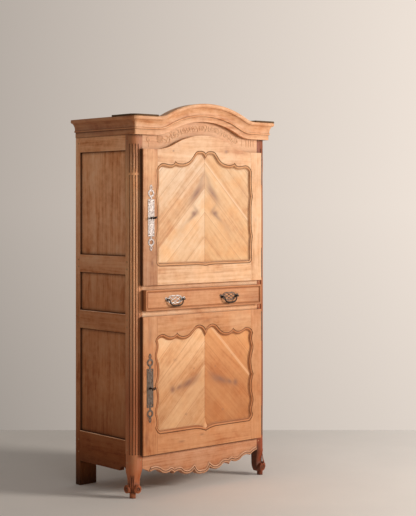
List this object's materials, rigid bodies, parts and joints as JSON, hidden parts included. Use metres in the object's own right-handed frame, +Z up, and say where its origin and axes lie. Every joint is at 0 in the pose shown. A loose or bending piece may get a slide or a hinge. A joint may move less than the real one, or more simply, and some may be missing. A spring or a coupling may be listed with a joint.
{
  "type": "bonnetiere cupboard",
  "caption": "Narrow linen cupboard with an arched cornice, scalloped panelled doors above and below one drawer, reeded corners and scrolled feet.",
  "frame": {"origin": "on the floor under the middle of the whole cupboard's bounding box", "axes": "+X to the right seen from the front, +Y from the front to the back, +Z up"},
  "size_m": [1.01, 0.5606, 2.0359],
  "materials": {
    "front_wood": "waxed cherry, satin",
    "panel_wood": "waxed cherry, satin",
    "cornice_wood": "waxed cherry, satin",
    "side_wood": "waxed cherry, satin",
    "rough_wood": "bare planed boards",
    "peg_wood": "waxed oak pegs",
    "hinge_steel": "polished iron",
    "plate_steel": "pierced polished iron",
    "lock_steel": "worn iron"
  },
  "bodies": {
    "carcass": {"back_boards": "rough_wood", "back_rails": "rough_wood", "cornice_front": "cornice_wood", "drawer_bottom_rail": "front_wood", "drawer_guides": "rough_wood", "drawer_top_rail": "front_wood", "frame_pegs": "peg_wood", "frieze_rail": "front_wood", "front_apron": "front_wood", "hinge_pintles": "hinge_steel", "inner_floors": "rough_wood", "left_bottom_rail": "side_wood", "left_cornice": "cornice_wood", "left_front_post": "front_wood", "left_lower_panel": "side_wood", "left_middle_panel": "side_wood", "left_middle_rails": "side_wood", "left_rear_post": "side_wood", "left_top_rail": "side_wood", "left_upper_panel": "side_wood", "right_bottom_rail": "side_wood", "right_cornice": "cornice_wood", "right_front_post": "front_wood", "right_lower_panel": "side_wood", "right_middle_panel": "side_wood", "right_middle_rails": "side_wood", "right_rear_post": "side_wood", "right_top_rail": "side_wood", "right_upper_panel": "side_wood", "shelf_battens": "rough_wood", "shelves": "rough_wood", "top_boards": "rough_wood"},
    "drawer": {"drawer_back": "rough_wood", "drawer_base": "rough_wood", "drawer_front": "front_wood", "drawer_sides": "rough_wood", "handle_plates": "plate_steel"},
    "left_bail": {"left_bail": "plate_steel"},
    "lower_door": {"lower_door_bottom_rail": "front_wood", "lower_door_panel": "panel_wood", "lower_door_top_rail": "front_wood", "lower_escutcheon": "plate_steel", "lower_hinge_knuckles": "hinge_steel", "lower_hinge_stile": "front_wood", "lower_lock_case": "lock_steel", "lower_lock_stile": "front_wood"},
    "lower_key": {"lower_key": "lock_steel"},
    "lower_bolt": {"lower_lock_bolt": "lock_steel"},
    "right_bail": {"right_bail": "plate_steel"},
    "upper_door": {"upper_door_bottom_rail": "front_wood", "upper_door_panel": "panel_wood", "upper_door_top_rail": "front_wood", "upper_escutcheon": "plate_steel", "upper_hinge_knuckles": "hinge_steel", "upper_hinge_stile": "front_wood", "upper_lock_case": "lock_steel", "upper_lock_stile": "front_wood"},
    "upper_key": {"upper_key": "lock_steel"},
    "upper_bolt": {"upper_lock_bolt": "lock_steel"}
  },
  "joints": [
    {"name": "upper_door_hinge", "type": "hinge", "parent": "carcass", "child": "upper_door", "pos_m": [0.421, -0.22665, 1.4375], "axis": [0, 0, 1], "range_deg": [0, 170]},
    {"name": "upper_key_turn", "type": "hinge", "parent": "upper_door", "child": "upper_key", "pos_m": [-0.365, -0.22965, 1.434], "axis": [0, 1, 0], "range_deg": [0, 180]},
    {"name": "upper_bolt_slide", "type": "slide", "parent": "upper_door", "child": "upper_bolt", "axis": [-1, 0, 0], "range_m": [0, 0.012]},
    {"name": "lower_door_hinge", "type": "hinge", "parent": "carcass", "child": "lower_door", "pos_m": [0.421, -0.22665, 0.571], "axis": [0, 0, 1], "range_deg": [0, 170]},
    {"name": "lower_key_turn", "type": "hinge", "parent": "lower_door", "child": "lower_key", "pos_m": [-0.372, -0.22965, 0.56], "axis": [0, 1, 0], "range_deg": [0, 180]},
    {"name": "lower_bolt_slide", "type": "slide", "parent": "lower_door", "child": "lower_bolt", "axis": [-1, 0, 0], "range_m": [0, 0.012]},
    {"name": "drawer_slide", "type": "slide", "parent": "carcass", "child": "drawer", "axis": [0, -1, 0], "range_m": [0, 0.32]},
    {"name": "left_bail_swing", "type": "hinge", "parent": "drawer", "child": "left_bail", "pos_m": [-0.2095, -0.25465, 1.009], "axis": [-1, 0, 0], "range_deg": [0, 90]},
    {"name": "right_bail_swing", "type": "hinge", "parent": "drawer", "child": "right_bail", "pos_m": [0.1695, -0.25465, 1.009], "axis": [-1, 0, 0], "range_deg": [0, 90]}
  ],
  "couplings": [
    {"joint": "upper_key_turn", "follows": "upper_bolt_slide", "rad_per_m": 261.8},
    {"joint": "lower_key_turn", "follows": "lower_bolt_slide", "rad_per_m": 261.8}
  ]
}
